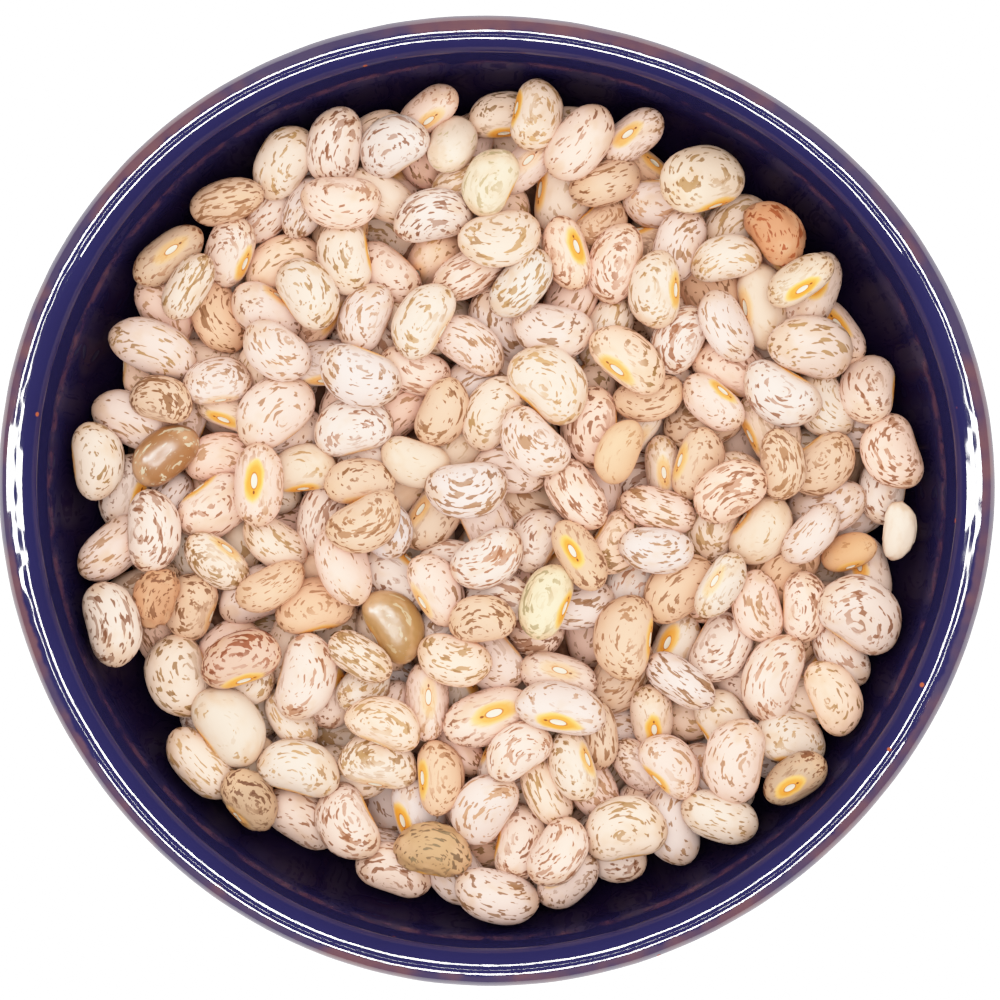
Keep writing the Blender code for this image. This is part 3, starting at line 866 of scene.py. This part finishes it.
PICKED_LOOKS = {
    "brown_flaked": Look("odd_beans", (190, 134, 84), (240, 228, 200), 0.35, 0.2),
    "olive_brown": Look("odd_beans", (198, 152, 92), (228, 206, 166), 0.15, 0.2),
    "plain_orange": Look("plain_beans", (249, 216, 176), (216, 166, 116), 0.08, 0.9),
    "small_orange": Look("plain_beans", (246, 200, 148), (216, 160, 106), 0.05),
    "peeled_half": Look("peeled_beans", (253, 243, 228), (240, 222, 196), 0.0, 0.0, 0.07),
    "pale_cream": Look("plain_beans", (253, 242, 226), (232, 212, 170), 0.3, 0.4),
    "pale_green": Look("plain_beans", (251, 239, 214), (216, 196, 150), 0.75, 0.7),
    "yellow_green": Look("plain_beans", (251, 239, 206), (196, 180, 134), 0.8, 0.9),
    "red_eyed_tan": Look("tan_beans", (238, 208, 178), RED_BROWN, 0.5, 0.3),
    "orange_streaked": Look("wrinkled_beans", (238, 178, 130), (196, 100, 50), 0.5, 0.4, 0.10),
    "wrinkled_tan": Look("wrinkled_beans", (226, 186, 136), (150, 130, 96), 0.6, 0.4, 0.12),
    "split_coat": Look("wrinkled_beans", (226, 192, 156), (140, 92, 62), 0.7, 0.3, 0.06),
    "wrinkled_orange": Look("wrinkled_beans", (232, 178, 134), (160, 104, 66), 0.5, 0.4, 0.14),
    "red_mottled": Look("tan_beans", (242, 208, 184), (176, 96, 56), 0.8, 0.8),
    "broad_pink_left": Look("pink_beans", (250, 232, 220), OLIVE_BROWN, 0.45, 0.4),
    "broad_pink_right": Look("pink_beans", (250, 232, 218), OLIVE_BROWN, 0.5, 0.4),
    "broad_cream": Look("cream_beans", (252, 238, 218), OLIVE_BROWN, 0.6, 0.9),
    "broad_speckled": Look("speckled_beans", (250, 236, 222), DARK_BROWN, 0.6),
    "broad_marked": Look("speckled_beans", (250, 234, 222), RED_BROWN, 0.6),
    "dark_ended": Look("tan_beans", (246, 214, 180), DARK_BROWN, 0.45, 1.0),
    "golden_eyed": Look("cream_beans", (250, 234, 212), OLIVE_BROWN, 0.6, 1.0),
    "tan_eyed": Look("tan_beans", (226, 196, 164), DARK_BROWN, 0.6, 0.9),
}

# Share of the heap, ground colour, mark colour, and how marked
COMMON_SORTS = {
    "cream_beans": (0.29, (252, 236, 218), OLIVE_BROWN, 0.55),
    "pink_beans": (0.28, (251, 234, 222), (200, 150, 104), 0.52),
    "tan_beans": (0.11, (246, 216, 186), (184, 130, 84), 0.60),
    "speckled_beans": (0.27, (252, 236, 222), RED_BROWN, 0.60),
    "plain_beans": (0.05, (250, 232, 210), OLIVE_BROWN, 0.15),
}
GOLDEN_SPREAD = (0.15, 1.0)
WARMTH_SPREAD = 3
MARK_DEPTH_SPREAD = 12
MARKED_SPREAD = 0.16
SORT_SEED = 11


def sorted_beans():
    """The look of each bean, by its number in the heap."""
    chance = np.random.default_rng(SORT_SEED)
    sorts = list(COMMON_SORTS)
    shares = np.array([COMMON_SORTS[sort][0] for sort in sorts])
    looks = {}
    for number in range(len(heap.beans)):
        sort = sorts[chance.choice(len(sorts), p=shares / shares.sum())]
        _, ground, marks, marked = COMMON_SORTS[sort]
        warmth, depth = chance.normal(0, WARMTH_SPREAD), chance.normal(0, MARK_DEPTH_SPREAD)
        ground = np.clip(np.array(ground) + warmth * np.array([0.5, -0.4, -1.4]), 0, 254)
        marks = np.clip(np.array(marks) + depth, 0, 254)
        marked = np.clip(chance.normal(marked, MARKED_SPREAD), 0, 1)
        drawn = Look(sort, ground, marks, marked, chance.uniform(*GOLDEN_SPREAD))
        looks[number] = PICKED_LOOKS.get(heap.landmarks.get(number), drawn)
    return looks


looks = sorted_beans()
for sort in sorted({look.sort for look in looks.values()}):
    print(sort, sum(look.sort == sort for look in looks.values()))


# %% Join each sort into one mesh
# A peeled half has lost its coat and some of its flesh
PEELED_SHARES = np.array([0.86, 0.66, 0.70])
FIRST_BEAN_SEED = 1000


def make_beans(sort):
    """All beans of one sort as one mesh, with the values that their coat reads."""
    numbers = [number for number, look in looks.items() if look.sort == sort]
    peeled = sort == "peeled_beans"
    points, values = [], {"ground": [], "marks": [], "character": []}
    for number in numbers:
        centre, attitude, half = heap.beans[number]
        look, chance = looks[number], np.random.default_rng(FIRST_BEAN_SEED + number)
        form = bean_form(half * (PEELED_SHARES if peeled else 1), chance, look.wrinkles, peeled)
        points.append(centre + form @ attitude.T)
        values["ground"].append(look.ground)
        values["marks"].append(look.marks)
        values["character"].append((look.marked, look.golden, chance.random()))
    faces = [
        tuple(corner + k * len(UNIT) for corner in face)
        for k in range(len(numbers))
        for face in BEAN_FACES
    ]
    on_corners = {label: np.repeat(rows, len(UNIT), axis=0) for label, rows in values.items()}
    on_corners["on_bean"] = np.tile(UNIT, (len(numbers), 1))
    return piece_from_arrays(sort, np.vstack(points), faces, on_corners)


bean_pieces = {sort: make_beans(sort) for sort in sorted({look.sort for look in looks.values()})}
for sort, piece in bean_pieces.items():
    print(sort, len(piece.data.polygons), "faces")

# %% [markdown]
# ## Paint the seed coat
# The marks on a bean are flat patches that run along it: long dashes bent round its outline, ragged
# at their ends, with finer dark specks towards the tips and few marks near the eye. Noise stretched
# along the bean gives dashes, and a fourth direction that grows towards the outline bends them
# round it without a seam. Round the white eye the coat turns golden, with a darker edge. The coat
# also clouds to tan at random, and more so at the tips, where the extra tan is painted shade.

# %% Name the colours that every coat shares
# The tan of the clouding: the coat's own uneven tone, and painted shade where it gathers at the tips.
TAN_AND_PAINTED_SHADE = reflected(242, 205, 164)
DARK_FLECK = reflected(124, 66, 40)
YELLOW_HALO = reflected(254, 224, 124)
ORANGE_HALO = reflected(252, 190, 62)
EYE_EDGE_BROWN = reflected(220, 136, 50)
EYE_WHITE = reflected(250, 244, 228)
EYE_DOT = reflected(112, 52, 24)
print("halo of the eye reflects", [round(v, 2) for v in ORANGE_HALO])


# %% Mix a seed coat
def seed_coat(name, dashes=1.0, specks=1.0, roughness=0.50, eyes=True):
    coat = Coat(name, IOR=1.42, Specular_IOR_Level=0.3)
    x, y, z = coat.apart(coat.place("on_bean"))
    ground, marks = coat.place("ground"), coat.place("marks")
    marked, golden, draw = coat.apart(coat.place("character"))
    outline = (x * x + (y + 0.35) ** 2 * 0.8) ** 0.5
    tips = abs(x) ** 3
    away = coat.rise(y + abs(x) * 0.6, -0.8, 0.1)

    start = draw * 60
    drawn_out = coat.together(x * 1.9 + start, y * 2.4, z * 4.4)
    patches = coat.noise(drawn_out, 1, 2.0, 0.52, w=outline * 4.4 + start)
    edge = 0.640 - marked * 0.10
    patch = coat.rise(patches, edge, edge + 0.014) * dashes * (0.3 + away * 0.7)

    short = coat.together(x * 3.4 + start, y * 4.2 + 7, z * 7.5)
    dashed = coat.noise(short, 1, 1.0, 0.5, w=outline * 7.5 + start)
    dash_edge = 0.660 - marked * 0.10 - tips * 0.02
    dash = coat.rise(dashed, dash_edge, dash_edge + 0.03) * specks * (0.4 + away * 0.6)

    # Tan clouds at random are the coat's own tone; the push towards the tips is painted shade for the
    # darker, warmer ends.
    cloud = coat.noise(coat.together(x * 1.5 + start, y * 1.5, z * 1.5), 1, 2, 0.5)
    tan_and_painted_shade = coat.rise(cloud + tips * 0.3, 0.48, 0.80)
    colour = coat.mixed(tan_and_painted_shade * 0.55, ground, TAN_AND_PAINTED_SHADE)
    colour = coat.mixed(patch * (0.7 + cloud * 0.4), colour, marks)
    darker = coat.mixed(0.30 + tips * 0.4, marks, DARK_FLECK)
    colour = coat.mixed(dash * 0.9, colour, darker)
    if eyes:
        colour = golden_eye(coat, colour, x, y, z, golden, cloud)
    coat.feed("Base Color", colour)
    coat.feed("Roughness", roughness + dash * 0.05)
    pores = coat.noise(coat.node("TexCoord", output="Object"), 1500, 0, 0.5)
    coat.relief(pores, 0.00002)
    return coat.material


def golden_eye(coat, colour, x, y, z, golden, cloud):
    """The golden ring, the brown edge, the white oval and the dark dot at its end."""
    behind = coat.rise(y, -0.3, 0.0) * 9
    ring = ((x / 0.54) ** 2 + (z / 0.42) ** 2) ** 0.5 + (cloud - 0.5) * 0.7 + behind
    oval = ((x / EYE_HALF_LENGTH) ** 2 + (z / EYE_HALF_WIDTH) ** 2) ** 0.5 + behind
    dot = (((x - 0.27) / 0.05) ** 2 + (z / 0.05) ** 2) ** 0.5 + behind
    colour = coat.mixed(coat.rise(ring, 1.1, 0.8) * golden, colour, YELLOW_HALO)
    colour = coat.mixed(coat.rise(ring, 0.9, 0.55) * golden, colour, ORANGE_HALO)
    colour = coat.mixed(coat.rise(oval, 1.32, 1.12) * 0.85, colour, EYE_EDGE_BROWN)
    colour = coat.mixed(coat.rise(oval, 1.05, 0.92), colour, EYE_WHITE)
    return coat.mixed(coat.rise(dot, 1.1, 0.7) * 0.85, colour, EYE_DOT)


COATS = {
    "cream_beans": seed_coat("cream_coat"),
    "pink_beans": seed_coat("pink_coat"),
    "tan_beans": seed_coat("tan_coat"),
    "speckled_beans": seed_coat("speckled_coat", dashes=0.8),
    "plain_beans": seed_coat("plain_coat", specks=0.3),
    "odd_beans": seed_coat("odd_coat", roughness=0.3, specks=0.5),
    "wrinkled_beans": seed_coat("wrinkled_coat", roughness=0.45),
    "peeled_beans": seed_coat("peeled_flesh", dashes=0.0, specks=0.0, eyes=False),
}
for sort, piece in bean_pieces.items():
    piece.data.materials.append(COATS[sort])
    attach(piece, "root")
    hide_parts("beans")
print(len(COATS), "coats")

# %% [markdown]
# ## What fills the bowl below
# Under the beans that show lie many more. Only slivers of them are seen, down the gaps, so one
# lumpy surface stands for them: more poured beans would have many times its corners. It follows
# the heap's crown some way down, in lumps of about a bean's size and the beans' colour in shade.

# %% Make the bed under the beans
BED_RINGS = 60
BED_STEPS = 120
BED_BELOW_TOP = 0.0125
BED_LUMPS_BELOW_TOP = 0.0135
BED_LUMP = 0.0016
BED_LUMP_WAVES = (16, 500, 900)
BED_SEED = 3
# Both bed colours are bean colours darkened as painted shade, one paler than the other.
BED_SHADE = reflected(150, 98, 68)
BED_PALER_SHADE = reflected(206, 158, 124)


def make_bed():
    radii = np.linspace(0, HOLLOW_RADIUS, BED_RINGS)
    height = heap_height(radii) - BED_BELOW_TOP
    keep = hollow_height(radii + 2 * WALL_GAP) + WALL_GAP < height
    crown = np.stack([radii[keep], height[keep]], -1)[::-1]
    under = [(r, max(FLOOR, float(hollow_height(r + 2 * WALL_GAP))) + WALL_GAP) for r in crown[:, 0]]
    outline = np.vstack([np.array(under)[::-1][:-1], crown])
    points = turned_points(outline, BED_STEPS)
    chance = np.random.default_rng(BED_SEED)
    lumps = waves(points, chance, *BED_LUMP_WAVES)
    crown_height = heap_height(np.hypot(points[:, 0], points[:, 1]))
    top = points[:, 2] > crown_height - BED_LUMPS_BELOW_TOP
    points[:, 2] += np.where(top, lumps * BED_LUMP, 0)
    faces = grid_faces(len(outline) - 2, BED_STEPS)
    return piece_from_arrays("beans_below", pushed_out_of_round(points), faces)


def bed_finish():
    bed = Coat("shaded_beans")
    place = bed.node("TexCoord", output="Object")
    patches = bed.noise(place, 260, 3, 0.6)
    bed.feed("Base Color", bed.mixed(bed.rise(patches, 0.4, 0.6), BED_SHADE, BED_PALER_SHADE))
    bed.feed("Roughness", 0.55 + patches * 0.1)
    bed.relief(patches, 0.0002)
    return bed.material


bed = make_bed()
bed.data.materials.append(bed_finish())
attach(bed, "root")
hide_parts("beans")
print("bed under the beans:", len(bed.data.polygons), "faces")

# %% [markdown]
# ## Floor
# The bowl stands on a plain white sheet, so bright that it shows no edge. The sheet glows a little
# of its own, so that it stays bright where the bowl shades it.

# %% Lay the floor
FLOOR_HALF_WIDTH = 3.0
FLOOR_GLOW = 0.45


def make_floor():
    corners = np.array([(-1, -1, 0), (1, -1, 0), (1, 1, 0), (-1, 1, 0)]) * FLOOR_HALF_WIDTH
    sheet = piece_from_arrays("white_sheet", corners, [(0, 1, 2, 3)])
    paper = Coat("white_paper", Roughness=0.9)
    paper.feed("Emission Color", (1, 1, 1))
    paper.feed("Emission Strength", FLOOR_GLOW)
    fibres = paper.noise(paper.node("TexCoord", output="Object"), 40, 3, 0.6)
    paper.feed("Base Color", paper.mixed(fibres * 0.1, (0.93, 0.93, 0.93), (0.90, 0.90, 0.90)))
    sheet.data.materials.append(paper.material)
    sheet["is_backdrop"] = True


make_floor()
print("floor laid")

# %% [markdown]
# ## Light
# A bright, even room and one soft light overhead reach the beans from all sides, so that shadows
# stay light and warm. Several big lamps round the bowl could do the same, but an even world has no
# places to get right. Neither of the two gives glints: those come from lights that only mirror.

# %% Hang the soft light in an even room
OVERHEAD_PLACE = (0.0, 0.05, 1.0)
OVERHEAD_SIZE = 1.3
OVERHEAD_POWER = 4.1
ROOM_COLOUR = (1.0, 0.98, 0.96, 1.0)
ROOM_STRENGTH = 1.02

light = bpy.data.lights.new("overhead", "AREA")
light.shape = "DISK"
light.size = OVERHEAD_SIZE
light.energy = OVERHEAD_POWER
lamp = bpy.data.objects.new("overhead", light)
lamp.location = OVERHEAD_PLACE
lamp.rotation_euler = Vector(OVERHEAD_PLACE).to_track_quat("Z", "Y").to_euler()
lamp.visible_camera = False
lamp.visible_glossy = False
bpy.context.scene.collection.objects.link(lamp)

room = bpy.data.worlds.new("even_room")
bpy.context.scene.world = room
room.use_nodes = True
background = room.node_tree.nodes["Background"]
background.inputs["Color"].default_value = ROOM_COLOUR
background.inputs["Strength"].default_value = ROOM_STRENGTH
room.cycles_visibility.glossy = False
print("overhead light of", OVERHEAD_POWER, "W hung in a room of strength", ROOM_STRENGTH)

# %% [markdown]
# ## Exposure
# The photo is exposed so brightly that cream coats come out nearly white, and yet its shade is
# soft. A tone curve does the same here: it lifts the shade and flattens towards white. Each
# colour that was read from the photo was worked back through this curve when it was mixed.

# %% Expose it as brightly as the photo
TONE_POINTS = 12


def expose_brightly():
    """A tone curve that lifts the shade and rolls the bright parts off, as the photo's does."""
    view = bpy.context.scene.view_settings
    view.view_transform = "Standard"
    view.use_curve_mapping = True
    tone = view.curve_mapping.curves[3]
    for step in range(1, TONE_POINTS):
        light = step / TONE_POINTS
        tone.points.new(light, 1 - (1 - light) ** TONE_POWER)
    view.curve_mapping.extend = "HORIZONTAL"
    view.curve_mapping.update()


expose_brightly()
print("tone curve has", TONE_POINTS + 1, "points")

# %% [markdown]
# ## What mirrors in the glaze
# The lip's two thin bright lines are one wide ring of light, seen twice in the round glaze, and the
# broad patches left and right are two tall soft boxes. All three are linked to the bowl and to the
# two shiny brown beans alone, because on the other coats they would lie as a grey haze.

# %% Gather what mirrors the lights
what_mirrors = bpy.data.collections.new("what_mirrors")
for shiny in (bowl, bean_pieces["odd_beans"]):
    what_mirrors.objects.link(shiny)


def mirrored_light(name, points, faces, strength):
    """A glowing sheet that shows only in what mirrors it."""
    sheet = piece_from_arrays(name, points, faces)
    glow = Finish(name + "_glow")
    glow.feed("Base Color", (0, 0, 0))
    glow.feed("Emission Color", (1, 1, 1))
    glow.feed("Emission Strength", strength)
    sheet.data.materials.append(glow.material)
    sheet.visible_camera = False
    sheet.visible_diffuse = False
    sheet.visible_shadow = False
    sheet.light_linking.receiver_collection = what_mirrors
    sheet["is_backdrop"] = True


# %% Hang the ring
RING_INNER = 0.202
RING_OUTER = 0.328
RING_HEIGHT = 0.655
RING_LAMPS = 960
RING_RAGGED = 0.062
RING_GAP_SHARE = 0.05
RING_STRENGTH = 56.0
RING_SEED = 8

# First and last heading, in degrees, of the two stretches without lamps
RING_BREAKS = [(-30, 8), (172, 215)]


def ring_light():
    """A ring of narrow lamps of uneven reach, which draw lines with ragged edges on the lip."""
    chance = np.random.default_rng(RING_SEED)
    heading = np.arange(RING_LAMPS) * 360 / RING_LAMPS
    alight = chance.random(RING_LAMPS) > RING_GAP_SHARE
    for first, last in RING_BREAKS:
        alight &= (heading - first) % 360 > last - first
    nearest = RING_INNER + chance.random(RING_LAMPS) * RING_RAGGED
    furthest = RING_OUTER - chance.random(RING_LAMPS) * RING_RAGGED
    reach = np.stack([nearest, furthest, furthest, nearest], -1)[alight].ravel()
    turn = np.radians(heading[alight][:, None] + np.array([0, 0, 1, 1]) * 360 / RING_LAMPS).ravel()
    height = np.full(len(turn), RING_HEIGHT)
    faces = np.arange(len(turn)).reshape(-1, 4).tolist()
    points = np.stack([reach * np.cos(turn), reach * np.sin(turn), height], -1)
    mirrored_light("ring_light", points, faces, RING_STRENGTH)
    return len(faces)


lamps_alight = ring_light()
print("lamps alight in the ring:", lamps_alight, "of", RING_LAMPS)


# %% Hang the two soft boxes
SOFT_BOX_REACH = 0.62
SOFT_BOX_STEPS = 20
SOFT_BOX_STRENGTH = 48.0

# Heading, half width, and the tilts from upright where it starts and ends, in degrees
SOFT_BOXES = {
    "left_soft_box": (178, 6, -14, 54),
    "right_soft_box": (3, 5, -26, 34),
}


def arched_light(name, heading, half_width, first, last):
    """A tall soft box bent over the table, from near the lens down to the side."""
    middle, spread = math.radians(heading), math.radians(half_width)
    points = []
    for tilt in np.radians(np.linspace(first, last, SOFT_BOX_STEPS + 1)):
        out = SOFT_BOX_REACH * math.sin(tilt)
        height = BOWL_HEIGHT + SOFT_BOX_REACH * math.cos(tilt)
        for side in (-spread * abs(out), spread * abs(out)):
            x = out * math.cos(middle) - side * math.sin(middle)
            y = out * math.sin(middle) + side * math.cos(middle)
            points.append((x, y, height))
    faces = [(2 * i, 2 * i + 2, 2 * i + 3, 2 * i + 1) for i in range(SOFT_BOX_STEPS)]
    mirrored_light(name, np.array(points), faces, SOFT_BOX_STRENGTH)


for name, measures in SOFT_BOXES.items():
    arched_light(name, *measures)
print("soft boxes hung:", len(SOFT_BOXES))

# %% [markdown]
# ## The two sizes
# The dressed bowl must keep the size of the solids, so both boxes are printed.

# %% Print the sizes of both
dressed_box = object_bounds()
boxes = {
    "cad": [list(corner) for corner in cad_box],
    "visual": [list(corner) for corner in dressed_box],
}
for label, (lowest, highest) in boxes.items():
    print(label, [round(1000 * (b - a), 2) for a, b in zip(lowest, highest)], "mm")
